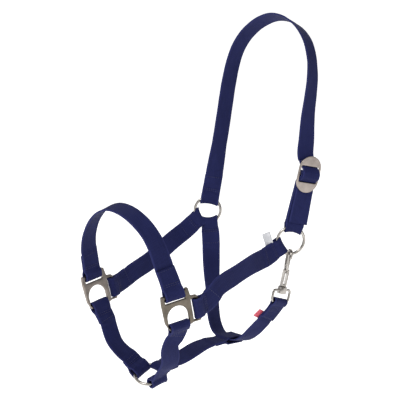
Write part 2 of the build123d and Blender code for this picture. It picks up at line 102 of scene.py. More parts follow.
# -------------------- vectors and frames
def vec(*numbers):
    return np.array(numbers if len(numbers) > 1 else numbers[0], float)


def unit(v):
    return vec(v) / np.linalg.norm(v)


def smooth(t):
    """Eases from 0 to 1."""
    return t * t * (3 - 2 * t)


def walked(points):
    """Distance along a polyline at each of its points."""
    return np.concatenate([[0], np.cumsum(np.linalg.norm(np.diff(points, axis=0), axis=1))])


def cos_sin(angle):
    """Cosine and sine of an angle in degrees."""
    a = math.radians(angle)
    return math.cos(a), math.sin(a)


def heading(azimuth):
    return vec(*cos_sin(azimuth), 0)


class Plane:
    """Origin and right-handed axes; x is made square to z."""

    def __init__(self, origin, x_dir, z_dir):
        self.origin = vec(origin)
        self.z = unit(z_dir)
        x_dir = vec(x_dir)
        self.x = unit(x_dir - self.z * x_dir.dot(self.z))
        self.y = np.cross(self.z, self.x)

    def at(self, x, y, z=0.0):
        return self.origin + self.x * x + self.y * y + self.z * z

    def turned(self, angle):
        """Unit vector in the plane at an angle from its x."""
        c, s = cos_sin(angle)
        return self.x * c + self.y * s

    def matrix(self):
        rows = np.eye(4)
        rows[:3, 0], rows[:3, 1], rows[:3, 2] = self.x, self.y, self.z
        rows[:3, 3] = (self.origin + vec(0, 0, POLL)) * MM
        return Matrix(rows.tolist())


def upright_ring(centre, azimuth):
    return Plane(centre, heading(azimuth + 90), heading(azimuth))


def square_plane(centre, rear, top):
    return Plane(centre, rear, np.cross(unit(rear), vec(top)))


NEAR_RING = upright_ring((50, 76, -287), 56)
OFF_RING = upright_ring((50, -76, -270), 47)
CHIN_RING = Plane((233.5, 2, -441.5), (0.95, 0, -0.3), (0.27, 0.23, 0.93))
NEAR_SQUARE = square_plane((253, 74, -341), (-0.937, 0.304, 0.174), (0.166, -0.054, 0.985))
OFF_SQUARE = square_plane((254, -74, -347), (-0.988, 0.02, 0.135), (0.13, -0.17, 0.963))


# -------------------- webbing ends and runs
class End:
    """A sewn loop: x outward along the strap, z along the bar, origin in the bar's middle.
    cup is how far its middle sags to a curved wire, and slant turns the fold in degrees."""

    def __init__(self, plane, reach, far, half_gap, width, cup=0.0, slant=0.0):
        self.plane, self.reach, self.far = plane, reach, far
        self.half_gap, self.width, self.cup = half_gap, width, cup
        self.rake = -math.tan(math.radians(slant))
        self.close = far + CLOSING
        self.lead = self.close + LEAD
        self.start = plane.at(self.lead - START, 0)

    def loop(self, side):
        """(x, y, dx, dy) along the webbing from the layer on -side round the bar to the
        layer on +side, between the places where the run starts."""
        radius = self.half_gap + HALF
        turn = self.half_gap - self.reach
        half = []
        for x in np.linspace(self.lead - START, self.close, 4)[:-1]:
            half.append((x, HALF))
        for t in np.linspace(0, 1, 9):
            half.append((self.close + (self.far - self.close) * t,
                         HALF + (radius - HALF) * smooth(t)))
        for x in np.linspace(self.far, turn, 6)[1:]:
            half.append((x, radius))
        for angle in np.linspace(90, 180, 9)[1:]:
            c, s = cos_sin(angle)
            half.append((turn + radius * c, radius * s))
        inward = [(x, -side * y) for x, y in half]
        outward = [(x, side * y) for x, y in reversed(half[:-1])]
        points = np.array(inward + outward)
        ahead = np.gradient(points, axis=0)
        return np.hstack([points, ahead / np.linalg.norm(ahead, axis=1)[:, None]])


def ring_end(ring, angle, width, swing=0.0, side=0.0, cup=2.0, slant=0.0):
    """A loop round a ring's wire at an angle of the ring. swing leans the strap out of the
    ring's plane, and side slides the loop along the wire."""
    outward, along = ring.turned(angle), ring.turned(angle + 90)
    inner = RING - WIRE
    sag = inner - math.sqrt(inner ** 2 - (width / 2 + abs(side)) ** 2)
    c, s = cos_sin(swing)
    direction = outward * c + ring.z * s
    shift = np.cross(along, direction) * (-sag * s / 2)
    plane = Plane(ring.origin + outward * RING + along * side + shift, direction, along)
    return End(plane, sag * c + WIRE + PLAY, WIRE + PLAY,
               WIRE + PLAY + sag * abs(s) / 2, width, cup, slant)


def square_end(square, side, swing=0.0):
    """A loop round one of a cheek square's bars. swing leans it out of the square's face."""
    outward, along, bar = {"top": (square.y, square.x, TOP_BAR),
                           "rear": (square.x, square.y, REAR_BAR),
                           "bottom": (-square.y, square.x, BOTTOM_BAR)}[side]
    c, s = cos_sin(swing)
    half = BAR / 2 * c + PLATE / 2 * abs(s)
    plane = Plane(square.origin + outward * (bar + BAR / 2), outward * c + square.z * s, along)
    return End(plane, half + 4 * PLAY, half + 2 * PLAY, half + PLAY, WEB)


class Run:
    """Clamped cubic spline through points, read by distance along it."""

    def __init__(self, points, leave, arrive, across):
        points = np.array(points, float)
        count = len(points)
        gaps = np.diff(walked(points))
        system = np.eye(count)
        right = np.zeros((count, 3))
        right[0], right[-1] = unit(leave), unit(arrive)
        for i in range(1, count - 1):
            a, b = gaps[i - 1], gaps[i]
            system[i, i - 1:i + 2] = b, 2 * (a + b), a
            right[i] = 3 * (b * (points[i] - points[i - 1]) / a
                            + a * (points[i + 1] - points[i]) / b)
        slopes = np.linalg.solve(system, right)
        fine = []
        for i in range(count - 1):
            for t in np.linspace(0, 1, 40, endpoint=(i == count - 2)):
                h = gaps[i]
                fine.append((2 * t ** 3 - 3 * t ** 2 + 1) * points[i]
                            + (t ** 3 - 2 * t ** 2 + t) * h * slopes[i]
                            + (3 * t ** 2 - 2 * t ** 3) * points[i + 1]
                            + (t ** 3 - t ** 2) * h * slopes[i + 1])
        self.fine = np.array(fine)
        self.far = walked(self.fine)
        self.length = self.far[-1]
        self.slope = np.gradient(self.fine, axis=0)
        self.across = np.array([unit(a) for a in across])

    def read(self, s):
        """Position, direction, width direction and face normal at a distance."""
        def between(at, ruler, rows):
            return vec([np.interp(at, ruler, rows[:, k]) for k in range(3)])

        position = between(s, self.far, self.fine)
        direction = unit(between(s, self.far, self.slope))
        share = np.clip(s / self.length, 0, 1)
        wide = between(share, np.linspace(0, 1, len(self.across)), self.across)
        wide = unit(wide - direction * wide.dot(direction))
        return position, direction, wide, np.cross(direction, wide)


# -------------------- meshes
def in_scene(name, data):
    made = bpy.data.objects.new(name, data)
    scene.collection.objects.link(made)
    return made


def stand_in(made, body, node):
    """Puts an object on a body, in the place of a CAD node."""
    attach(made, body)
    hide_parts(node)


def shade(mesh, material):
    """One material and smooth faces."""
    mesh.materials.clear()
    mesh.materials.append(material)
    mesh.polygons.foreach_set("use_smooth", [True] * len(mesh.polygons))


def lofted(rows, ring, closed=False, turned=False):
    """Faces that join rows of ring points each, capped unless closed. turned faces the
    other way round."""
    faces = []
    for i in range(rows if closed else rows - 1):
        a, b = i * ring, (i + 1) % rows * ring
        for k in range(ring):
            m = (k + 1) % ring
            faces.append((a + k, b + k, b + m, a + m) if turned
                         else (a + k, a + m, b + m, b + k))
    if not closed:
        first, last = range(ring), range((rows - 1) * ring, rows * ring)
        faces.append(tuple(first if turned else first[::-1]))
        faces.append(tuple(last[::-1] if turned else last))
    return faces


def mesh_object(name, points, faces, body, material, node, slot, **values):
    """A mesh from millimetre points, for a CAD node. values are kept on its points."""
    mesh = bpy.data.meshes.new(name)
    moved = (np.asarray(points) + vec(0, 0, POLL)) * MM
    mesh.from_pydata([tuple(p) for p in moved], [], faces)
    for label, numbers in values.items():
        kept = mesh.attributes.new(label, "FLOAT", "POINT")
        kept.data.foreach_set("value", np.asarray(numbers, np.float32))
    shade(mesh, material)
    mesh.update()
    stand_in(in_scene(name, mesh), body, node)


COLUMNS = 17               # points across one face of the webbing
EDGE_STEPS = 5             # points round a selvedge


def section(width, thick):
    """Outline of the webbing's cross section: rounded selvedges slightly prouder than the
    ribbed faces."""
    half, r = width / 2, thick / 2
    x = np.linspace(-(half - r), half - r, COLUMNS)
    rise = np.full(COLUMNS, r * 0.93)
    rise[[0, -1]] = r
    rise[[1, -2]] = r * 0.97
    bend = np.linspace(90, -90, EDGE_STEPS + 2)[1:-1]
    c, s = np.cos(np.radians(bend)), np.sin(np.radians(bend))
    top = np.stack([x, rise], 1)
    right = np.stack([half - r + r * c, r * s], 1)
    low = np.stack([x[::-1], -rise[::-1]], 1)
    left = np.stack([-(half - r) - r * c, -r * s], 1)
    return np.vstack([top, right, low, left])


CUT_END = 1.2              # webbing thins over this length towards a cut and sealed end


def ribbon(node, stations, seed, closed=False):
    """Webbing along stations of (position, direction, width direction, width), and where
    it is bent also how far its middle sags and how far its fold slants, as vectors. Its
    edges sway and its face waves by a fraction of a millimetre."""
    distances = walked(np.array([s[0] for s in stations]))
    total = distances[-1]
    points, across, along = [], [], []
    for (place, direction, wide, width, *bent), v in zip(stations, distances):
        normal = unit(np.cross(direction, wide))
        cup, rake = bent or (0 * wide, 0 * wide)
        thick = THICK - LAY
        if not closed:
            edge = min(v, total - v)
            thick *= 0.72 + 0.28 * min(1.0, edge / CUT_END)
        outline = section(width, thick)
        sway = 0.22 * math.sin(v / 17 + seed) + 0.12 * math.sin(v / 7.3 + 2 * seed)
        for x, y in outline:
            wave = 0.10 * math.sin(v / 11 + x / 6 + seed) + 0.06 * math.sin(v / 4.1 - x / 3)
            points.append(place + wide * (x + 0.3 * sway) + normal * (y + wave)
                          + cup * (1 - (2 * x / width) ** 2) + rake * x)
            across.append(x)
            along.append(v)
    faces = lofted(len(stations), len(outline), closed, turned=True)
    mesh_object(node + "_webbing", points, faces, "halter", NAVY, node, "webbing",
                across=across, along=along)


def steps(a, b, size):
    """Even steps of about a size from a to b."""
    return np.linspace(a, b, max(2, int(abs(b - a) / size) + 1))


STEP = 1.6                 # distance between webbing stations on a run
STEP_DOWN = 8.0            # past its sewn layer the webbing eases to the middle over this
TUCK = 0.3                 # the turned-back layer shows this much narrower


class Strap:
    """Webbing with a sewn loop at each end. through lists points of its middle line, and
    across its width directions. sewn gives the lengths of the turned-back layers, which
    lie behind the through layer, against the run's normal."""

    def __init__(self, end_a, end_b, through, across, sewn=(SEWN, SEWN)):
        self.ends, self.sewn = (end_a, end_b), sewn
        first, last = (e.plane.z for e in self.ends)
        first = first if first.dot(across[0]) > 0 else -first
        last = last if last.dot(across[-1]) > 0 else -last
        self.run = Run([end_a.start, *through, end_b.start], end_a.plane.x, -end_b.plane.x,
                       [first, *across, last])

    def offset(self, s):
        """How far the through layer lies from the run's middle."""
        total = 0.0
        for sewn, past in zip(self.sewn, (s, self.run.length - s)):
            if sewn:
                total += 1 - smooth(np.clip((past - sewn) / STEP_DOWN, 0, 1))
        return HALF * total

    def tail(self, which):
        """Stations of the turned-back layer, towards the loop for the first end."""
        out = []
        for s in steps(self.sewn[which], 0, STEP)[:-1]:
            d = s if which == 0 else self.run.length - s
            place, direction, wide, normal = self.run.read(d)
            out.append((place - normal * HALF, -direction, wide, WEB - TUCK))
        return out if which == 0 else out[::-1]

    def looped(self, which):
        """Stations round a loop, which widen or narrow to the loop's own width."""
        end = self.ends[which]
        _, _, wide, normal = self.run.read(0 if which == 0 else self.run.length)
        side = np.sign(normal.dot(end.plane.y))
        turned = end.rake * np.sign(wide.dot(end.plane.z))
        out = []
        for x, y, dx, dy in end.loop(side if which == 0 else -side):
            share = smooth(np.clip((end.lead - x) / (end.lead - end.far), 0, 1))
            out.append((end.plane.at(x, y), end.plane.x * dx + end.plane.y * dy, wide,
                        WEB + (end.width - WEB) * share,
                        end.plane.x * end.cup * share, end.plane.x * turned * share))
        return out

    def middle(self):
        out = []
        for s in steps(0, self.run.length, STEP)[1:-1]:
            place, direction, wide, normal = self.run.read(s)
            out.append((place + normal * self.offset(s), direction, wide, WEB))
        return out

    def stations(self):
        return (self.tail(0) + self.looped(0) + self.middle() + self.looped(1)
                + self.tail(1))

    def beside(self, which, distance):
        """Position, width direction, normal and width on the middle of the doubled
        webbing, at a distance from the place where the loop's layers meet."""
        end = self.ends[which]
        into = distance - (LEAD - START)
        s = max(0.0, into)
        place, _, wide, normal = self.run.read(s if which == 0 else self.run.length - s)
        if into > 0:
            return place, wide, normal, WEB
        return end.plane.at(end.close + distance, 0), wide, normal, end.width


STITCH, STITCH_GAP = 2.3, 0.75
STITCH_SHARES = (-1.0, -0.86, -0.5, 0.0, 0.5, 0.86, 1.0)
STITCH_SIDES = 6
THREAD = 0.36              # radius of the thread
ROWS_AT = (1.0, 3.4)       # stitch rows, from the place where a loop's layers meet
LAST_ROW = 2.0             # from the end of the turned-back layer to its row
ROW_INSET = 1.8            # from the webbing's edges to the ends of a row


class Thread:
    """Gathers stitches into one object."""

    def __init__(self):
        self.points, self.faces = [], []

    def stitch(self, centre, direction, normal, length):
        """One visible stitch, flattened on the webbing and dipping in at its ends."""
        across = np.cross(direction, normal)
        base = len(self.points)
        for share in STITCH_SHARES:
            fat = math.sqrt(max(0.05, 1 - abs(share) ** 3))
            drop = -0.30 * abs(share) ** 2 * THREAD * 2
            for k in range(STITCH_SIDES):
                c, s = cos_sin(360 * k / STITCH_SIDES)
                self.points.append(centre + direction * share * length / 2
                                   + across * c * THREAD * fat
                                   + normal * (s * THREAD * fat * 0.8 + drop))
        faces = lofted(len(STITCH_SHARES), STITCH_SIDES)
        self.faces += [tuple(base + i for i in face) for face in faces]

    def rows(self, at, distances, out=(1, -1)):
        """Rows of stitches across the doubled webbing, on the faces in out. at(distance)
        gives the position, width direction, normal and width on its middle."""
        for distance in distances:
            place, wide, normal, width = at(distance)
            long = width - 2 * ROW_INSET
            count = round(long / (STITCH + STITCH_GAP))
            for k in range(count):
                spot = place + wide * ((k + 0.5) / count - 0.5) * long
                for face in out:
                    self.stitch(spot + normal * face * (THICK - 0.03), wide, normal * face,
                                long / count - STITCH_GAP)

    def sew(self, node):
        mesh_object(node + "_thread", self.points, self.faces, "halter", NAVY_THREAD,
                    node + "_stitching", "thread")


# -------------------- materials
class Nodes:
    """Short hand for a material's node tree."""

    def __init__(self, name):
        self.material = bpy.data.materials.new(name)
        self.material.use_nodes = True
        self.tree = self.material.node_tree
        self.shader = self.tree.nodes["Principled BSDF"]

    def put(self, **settings):
        """Numbers and colours of the shader itself."""
        for key, value in settings.items():
            self.shader.inputs[key.replace("_", " ")].default_value = value

    def add(self, kind, **settings):
        node = self.tree.nodes.new(kind)
        for key, value in settings.items():
            if hasattr(node, key):
                setattr(node, key, value)
            else:
                node.inputs[key.replace("_", " ")].default_value = value
        return node

    def link(self, source, target):
        self.tree.links.new(source, target)

    def math(self, operation, *values):
        node = self.add("ShaderNodeMath", operation=operation)
        for i, value in enumerate(values):
            if isinstance(value, (int, float)):
                node.inputs[i].default_value = value
            else:
                self.link(value, node.inputs[i])
        return node.outputs[0]

    def value(self, name):
        return self.add("ShaderNodeAttribute", attribute_name=name).outputs["Fac"]

    def noise(self, scale, detail, rough, where=None):
        node = self.add("ShaderNodeTexNoise", Scale=scale, Detail=detail, Roughness=rough)
        where = where or self.add("ShaderNodeTexCoord").outputs["Object"]
        self.link(where, node.inputs["Vector"])
        return node.outputs[0]

    def ramp(self, source, stops):
        node = self.add("ShaderNodeValToRGB")
        ramp = node.color_ramp
        while len(ramp.elements) < len(stops):
            ramp.elements.new(0.5)
        for element, (place, colour) in zip(ramp.elements, stops):
            element.position = place
            element.color = (*colour, 1)
        self.link(source, node.inputs[0])
        return node.outputs[0]

    def spread(self, source, low, high, out_low, out_high):
        node = self.add("ShaderNodeMapRange")
        self.link(source, node.inputs["Value"])
        for key, number in (("From Min", low), ("From Max", high),
                            ("To Min", out_low), ("To Max", out_high)):
            node.inputs[key].default_value = number
        return node.outputs[0]

    def mix(self, share, source, colour):
        node = self.add("ShaderNodeMix", data_type="RGBA")
        self.link(share, node.inputs[0])
        self.link(source, node.inputs[6])
        node.inputs[7].default_value = (*colour, 1)
        return node.outputs[2]

    def bump(self, height, strength, distance):
        node = self.add("ShaderNodeBump", Strength=strength, Distance=distance)
        self.link(height, node.inputs["Height"])
        return node.outputs[0]


RIB, PICK = 1.55, 1.15     # pitch of the weave across and along the webbing
HIGHLIGHT_BAND = 2.1             # width of the painted highlight along each selvedge, of which the outer part is full strength
HIGHLIGHT_FULL = 1.3


def webbing_material(name, dark, light, edge):
    """Woven nylon: lengthwise ribs crossed by picks, a painted highlight along the selvedges,
    slight fade.
    """
    n = Nodes(name)
    x, v = n.value("across"), n.value("along")
    rib = n.math("SINE", n.math("MULTIPLY", x, 2 * math.pi / RIB))
    lane = n.math("FLOOR", n.math("MULTIPLY", x, 1 / RIB))
    shift = n.math("MULTIPLY", lane, 0.5)
    pick = n.math("SINE", n.math("MULTIPLY", n.math("ADD", n.math("DIVIDE", v, PICK), shift),
                                 2 * math.pi))
    weave = n.math("ADD", n.math("MULTIPLY", rib, 0.55), n.math("MULTIPLY", pick, 0.45))
    # mask of the painted highlight along both selvedges
    selvedge_highlight = n.spread(n.math("ABSOLUTE", x), WEB / 2 - HIGHLIGHT_BAND, WEB / 2 - HIGHLIGHT_FULL, 0, 1)
    streak_at = n.add("ShaderNodeCombineXYZ")
    n.link(n.math("MULTIPLY", x, 1.4), streak_at.inputs[0])
    n.link(n.math("MULTIPLY", v, 0.05), streak_at.inputs[1])
    streak = n.noise(1.0, 3.0, 0.6, streak_at.outputs[0])
    cloud = n.noise(28.0, 2.0, 0.5)
    fine = n.noise(2600.0, 2.0, 0.6)
    tone = n.math("ADD", n.math("MULTIPLY", n.spread(weave, -1, 1, 0, 1), 0.42),
                  n.math("ADD", n.math("MULTIPLY", streak, 0.36),
                         n.math("MULTIPLY", cloud, 0.26)))
    base = n.ramp(tone, [(0.28, dark), (0.78, light)])
    # the selvedges are mixed half way to the edge colour, which is a painted highlight
    n.link(n.mix(n.math("MULTIPLY", selvedge_highlight, 0.5), base, edge), n.shader.inputs["Base Color"])
    n.link(n.spread(weave, -1, 1, 0.78, 0.58), n.shader.inputs["Roughness"])
    height = n.math("ADD", weave, n.math("MULTIPLY", fine, 0.5))
    n.link(n.bump(height, 0.55, 0.00022), n.shader.inputs["Normal"])
    n.put(Specular_IOR_Level=0.1)
    return n.material


def thread_material(name, dark, light):
    """Twisted thread."""
    n = Nodes(name)
    twist = n.add("ShaderNodeTexWave", wave_type="BANDS", Scale=900.0, Distortion=2.0)
    n.link(n.add("ShaderNodeTexCoord").outputs["Object"], twist.inputs["Vector"])
    n.link(n.ramp(twist.outputs["Fac"], [(0.2, dark), (0.8, light)]),
           n.shader.inputs["Base Color"])
    n.link(n.bump(twist.outputs["Fac"], 0.5, 0.0001), n.shader.inputs["Normal"])
    n.put(Roughness=0.5)
    return n.material


def metal_material(name, dark, light, rough_low, rough_high, grain, depth):
    """Nickel plate: slight stain and haze, fine tumbling marks."""
    n = Nodes(name)
    stain = n.noise(70.0, 4.0, 0.6)
    haze = n.noise(grain, 3.0, 0.6)
    n.link(n.ramp(stain, [(0.3, dark), (0.7, light)]), n.shader.inputs["Base Color"])
    n.link(n.spread(n.math("ADD", n.math("MULTIPLY", stain, 0.5),
                           n.math("MULTIPLY", haze, 0.5)), 0.3, 0.7, rough_low, rough_high),
           n.shader.inputs["Roughness"])
    n.link(n.bump(haze, 0.35, depth), n.shader.inputs["Normal"])
    n.put(Metallic=1.0)
    return n.material


def cast_material(name, dark, light):
    """The duller and rougher plate of the castings."""
    return metal_material(name, dark, light, 0.26, 0.42, 1300.0, 0.00008)


def cloth_label_material(name, dark, light, scale):
    """Satin or ribbon with a fine diagonal weave."""
    n = Nodes(name)
    thread = n.add("ShaderNodeTexWave", wave_type="BANDS", bands_direction="DIAGONAL",
                   Scale=scale, Distortion=0.6)
    n.link(n.add("ShaderNodeTexCoord").outputs["Object"], thread.inputs["Vector"])
    cloud = n.noise(90.0, 2.0, 0.5)
    tone = n.math("ADD", n.math("MULTIPLY", thread.outputs["Fac"], 0.4),
                  n.math("MULTIPLY", cloud, 0.6))
    n.link(n.ramp(tone, [(0.25, dark), (0.7, light)]), n.shader.inputs["Base Color"])
    n.link(n.bump(thread.outputs["Fac"], 0.3, 0.0001), n.shader.inputs["Normal"])
    n.put(Roughness=0.55)
    return n.material


# the last colour is the painted highlight along the selvedges
NAVY = webbing_material("navy_webbing", (0.0055, 0.007, 0.038), (0.022, 0.027, 0.115),
                        (0.028, 0.033, 0.132))
NAVY_THREAD = thread_material("navy_thread", (0.004, 0.005, 0.03), (0.02, 0.024, 0.10))
NICKEL = metal_material("polished_nickel", (0.30, 0.28, 0.255), (0.52, 0.49, 0.455),
                        0.14, 0.28, 900.0, 0.00004)
CAST = cast_material("satin_nickel", (0.20, 0.175, 0.155), (0.33, 0.29, 0.26))
# a darker copy of the satin nickel, painted shade for the near cheek square
SHADED_CAST = cast_material("shaded_nickel", (0.10, 0.087, 0.07), (0.19, 0.165, 0.135))
# a lighter copy of the satin nickel, painted light for the slide
LIT_CAST = cast_material("lit_satin_nickel", (0.27, 0.235, 0.215),
                            (0.43, 0.375, 0.34))
WHITE_SATIN = cloth_label_material("white_satin", (0.50, 0.51, 0.54), (0.74, 0.74, 0.76),
                                   900.0)
RED_RIBBON = cloth_label_material("red_ribbon", (0.42, 0.03, 0.06), (0.75, 0.13, 0.18),
                                  1100.0)


# -------------------- straps between fittings
def strap_piece(node, strap, seed, extra_rows=((), ())):
    """The webbing and its thread, in place of the CAD strap and stitching. Each end has two
    rows beside the loop and one near the end of its turned-back layer."""
    ribbon(node, strap.stations(), seed)
    thread = Thread()
    for which in (0, 1):
        last = LEAD - START + strap.sewn[which] - LAST_ROW
        thread.rows(lambda d: strap.beside(which, d), (*ROWS_AT, last, *extra_rows[which]))
    thread.sew(node)


near_cheek = Strap(square_end(NEAR_SQUARE, "rear", -22),
                   ring_end(NEAR_RING, 205, 22, 32, cup=1.2, slant=6),
                   [(200.6, 84, -322.8), (171, 84, -311.4), (124.5, 79, -303)],
                   [(0.45, -0.1, 0.9), (0.3, -0.05, 0.93), (0.25, -0.15, 0.93)])
strap_piece("near_cheek_strap", near_cheek, 0.4)

off_cheek = Strap(square_end(OFF_SQUARE, "rear", -20),
                  ring_end(OFF_RING, 220, 23, 22, cup=2.6, slant=-10),
                  [(185.5, -80, -333.4), (150.6, -83, -323.8), (115, -84, -306.5)],
                  [(0.3, -0.2, 0.93), (0.3, -0.35, 0.9), (0.4, -0.5, 0.75)])
strap_piece("off_cheek_strap", off_cheek, 1.3)

noseband = Strap(square_end(NEAR_SQUARE, "top", -20), square_end(OFF_SQUARE, "top", 8),
                 [(259.5, 60, -287), (267, 43.5, -247.5), (277.8, -1, -219.9),
                  (275.2, -47.8, -241.4), (268.7, -69.9, -276)],
                 [(-0.98, 0.04, 0.2), (-0.977, 0, 0.214), (-0.97, -0.12, 0.2)])
strap_piece("noseband", noseband, 2.1)

near_chin = Strap(square_end(NEAR_SQUARE, "bottom", -38),
                  ring_end(CHIN_RING, 82, 24, 62, slant=10),
                  [(251.6, 60.4, -383), (247.8, 55.7, -398), (242.8, 48.2, -414)],
                  [(-0.96, 0.12, 0), (-0.95, 0.2, 0), (-0.93, 0.3, 0.1)],
                  sewn=(6.0, 6.0))
strap_piece("near_chin_strap", near_chin, 3.7)

off_chin = Strap(square_end(OFF_SQUARE, "bottom", 24), ring_end(CHIN_RING, -86, 25, 34, cup=0),
                 [(247.7, -59.4, -386.3), (248.3, -45.3, -407.8)], [(-1, 0, 0), (-1, 0, 0)],
                 sewn=(8.0, 6.0))
strap_piece("off_chin_strap", off_chin, 4.2)

# -------------------- snap frame and eye
HOOK_AT = 267.0            # where the hook hangs, an angle of the near ring
BODY_END = -44.0           # lower end of the snap's body, from the ring's wire
GATE_PIN = (2.6, -24.0)
COLLAR_LONG = 9.0          # height of the eye's collar
EYE_WIRE = 1.7
EYE_LONG = 15.0            # from the middle of the collar to the eye's bar
EYE_LEAN = 28.0            # the throat strap leaves the eye this far from its hang, degrees
hang = unit((0.215, -0.065, -0.975))
hook_tangent = NEAR_RING.turned(HOOK_AT + 90)
hook_point = NEAR_RING.origin + NEAR_RING.turned(HOOK_AT) * RING
snap_x = np.cross(hang, hook_tangent)
SNAP = Plane(hook_point, snap_x, np.cross(hang, snap_x))
collar_mid = BODY_END - PLAY - COLLAR_LONG / 2
eye_across = vec(-0.95, 0.10, -0.21)
eye_across = unit(eye_across - hang * eye_across.dot(hang))
eye_bar = SNAP.at(0, collar_mid) + hang * EYE_LONG
inward = np.cross(eye_across, hang)
inward = inward if inward[1] < 0 else -inward
c, s = cos_sin(EYE_LEAN)
EYE_END = End(Plane(eye_bar, hang * c + inward * s, eye_across),
              EYE_WIRE + PLAY, EYE_WIRE + PLAY, EYE_WIRE + PLAY, WEB, slant=-8)

# -------------------- throat and jaw straps
belt = vec(-0.979, 0, -0.204)   # width direction of the throat strap where it lies flat
throat = Strap(ring_end(OFF_RING, 275, 22.8, 0, 1.1, cup=3.0), EYE_END,
               [(56.7, -62, -341.5), (71.7, -45, -386), (83, -16, -430.2), (83.2, 0, -431.3),
                (83, 16, -430.2), (77, 47, -404)],
               [(-0.85, 0.45, 0), belt, belt, belt, (-0.93, 0.3, -0.2)])
strap_piece("throat_strap", throat, 5.1, ((), (5.8, 8.2)))

# the jaw strap's rear loop goes round the throat strap, not round metal
jaw_end = End(Plane((83.2, 0, -431.3), (0.995, 0, 0.1), (0, 1, 0)),
              reach=WEB / 2 + 1.8, far=WEB / 2 + 1.2, half_gap=HALF + 1.7, width=22.0)
jaw = Strap(jaw_end, ring_end(CHIN_RING, 180, 19, -15), [(141, 1, -427), (170, 2, -432)],
            [(0, 0.96, -0.25)], sewn=(14.0, 10.0))
strap_piece("jaw_strap", jaw, 6.0)

# -------------------- crown, slide, adjuster
# Near straps are laid out as u along them from the near ring's centre, n out of their face
# and w across.
SLIDE_LONG, SLIDE_WIDE, SLIDE_THICK = 48.0, 32.0, 2.5
SLIDE_BAR = 4.5            # height of the slide's centre bar
SLIDE_SLOT = 8.4           # clear height of each of its slots
SLIDE_INNER = WEB + 1.2    # clear width of its slots
SLIDE_AT = 90.0            # u of the middle of its bar
NEAR_LEAN = 77.5           # direction of the near straps in the near ring's plane
TWIST = 13.0               # degrees that they turn towards the slide
TWIST_FROM, TWIST_OVER = 22.0, 62.0
NEAR_SHIFT = -0.6          # w of the adjuster strap and the slide
FOLD_LOW = 10.2            # u of the adjuster's fold in the ring
FOLD_TOP, FOLD_EASE = 21.0, 8.0
FOLD_TUCK, FOLD_SAG = 3.4, 2.2   # the fold is this much narrower, and sags this far
TAIL_END = 24.0            # u of the free end of the crown strap's tail
ADJUSTER_MEETS = 27.6      # u where the adjuster's two layers meet above the ring
NEAR_STEP = 0.9            # distance between webbing stations on the near side
strap_up = NEAR_RING.turned(NEAR_LEAN)
strap_wide = NEAR_RING.turned(NEAR_LEAN - 90)
tail_layer = THICK + LAY + HALF
slide_mid = tail_layer + HALF + PLAY + SLIDE_THICK / 2
fold_gap = SLIDE_THICK / 2 + 0.3
bar_back, bar_front = slide_mid - fold_gap - HALF, slide_mid + fold_gap + HALF
crown_front = bar_front + THICK + LAY
bar_top, bar_low = SLIDE_AT + SLIDE_BAR / 2, SLIDE_AT - SLIDE_BAR / 2
ring_gap = WIRE + PLAY + HALF


def near_faces(u):
    """Directions out of the face and across the near straps, which twist towards the
    slide."""
    c, s = cos_sin(TWIST * smooth(np.clip((u - TWIST_FROM) / TWIST_OVER, 0, 1)))
    return NEAR_RING.z * c + strap_wide * s, strap_wide * c - NEAR_RING.z * s


def near_side(u, n, w=0.0):
    """Place on the near straps."""
    out, wide = near_faces(u)
    return NEAR_RING.origin + strap_up * u + out * n + wide * w


def rounded(points, radii, closed=False, pace=1.0):
    """A polyline with its corners turned into arcs. radii is one number or one for each
    corner, and pace about the distance between points on an arc."""
    points = [vec(p) for p in points]
    count = len(points)
    radii = np.broadcast_to(radii, count if closed else count - 2)
    out = [] if closed else [points[0]]
    for i in range(count if closed else count - 2):
        a, b, c = ((points[i - 1], points[i], points[(i + 1) % count]) if closed
                   else (points[i], points[i + 1], points[i + 2]))
        radius = radii[i]
        before, after = unit(a - b), unit(c - b)
        half = math.acos(np.clip(before.dot(after), -1, 1)) / 2
        if half > math.pi / 2 - 0.01:
            out.append(b)
            continue
        cut = min(radius / math.tan(half), 0.49 * np.linalg.norm(a - b),
                  0.49 * np.linalg.norm(c - b))
        radius = cut * math.tan(half)
        centre = b + unit(before + after) * radius / math.sin(half)
        start, end = b + before * cut - centre, b + after * cut - centre
        sweep = math.pi - 2 * half
        for t in np.linspace(0, 1, max(3, int(sweep * radius / pace * 2) + 3)):
            mixed = (start * math.sin((1 - t) * sweep) + end * math.sin(t * sweep))
            out.append(centre + mixed / math.sin(sweep))
    if not closed:
        out.append(points[-1])
    return np.array(out)


def even(points, pace):
    """Points at an even pace along a polyline."""
    far = walked(points)
    at = np.linspace(0, far[-1], int(far[-1] / pace) + 2)
    return np.stack([np.interp(at, far, points[:, k]) for k in range(points.shape[1])], 1)


def side_stations(points, radii, turned, shift):
    """Webbing stations from a rounded (u, n) path on the near side. turned is the sign of
    the width direction, and shift(u) the w of the webbing's middle."""
    path = even(rounded(points, radii), NEAR_STEP)
    slope = np.gradient(path, axis=0)
    out = []
    for (u, n), (du, dn) in zip(path, slope):
        face, wide = near_faces(u)
        low = np.clip((FOLD_TOP - u) / FOLD_EASE, 0, 1)
        out.append((near_side(u, n, shift(u)), unit(strap_up * du + face * dn),
                    wide * turned, WEB - FOLD_TUCK * low, strap_up * FOLD_SAG * low,
                    0 * wide))
    return out


front = [(FOLD_LOW, 0), (FOLD_LOW, ring_gap), (20.6, ring_gap), (27, HALF),
         (bar_low - 7.4, HALF), (bar_low - 0.85, bar_front), (bar_top + 1.45, bar_front),
         (bar_top + 1.45, slide_mid)]
back = [(bar_top + 1.45, slide_mid), (bar_top + 1.45, bar_back), (bar_low - 1.75, bar_back),
        (bar_low - 9.1, -HALF), (27, -HALF), (20.6, -ring_gap), (FOLD_LOW, -ring_gap),
        (FOLD_LOW, 0)]
adjuster = []
for path, radii in ((front, (3.4, 5, 5, 2.5, 3, 2.6)), (back, (2.6, 4, 4, 5, 5, 3.4))):
    adjuster += side_stations(path, radii, 1, lambda u: NEAR_SHIFT)[:-1]
ribbon("near_adjuster_strap", adjuster, 0.9, closed=True)


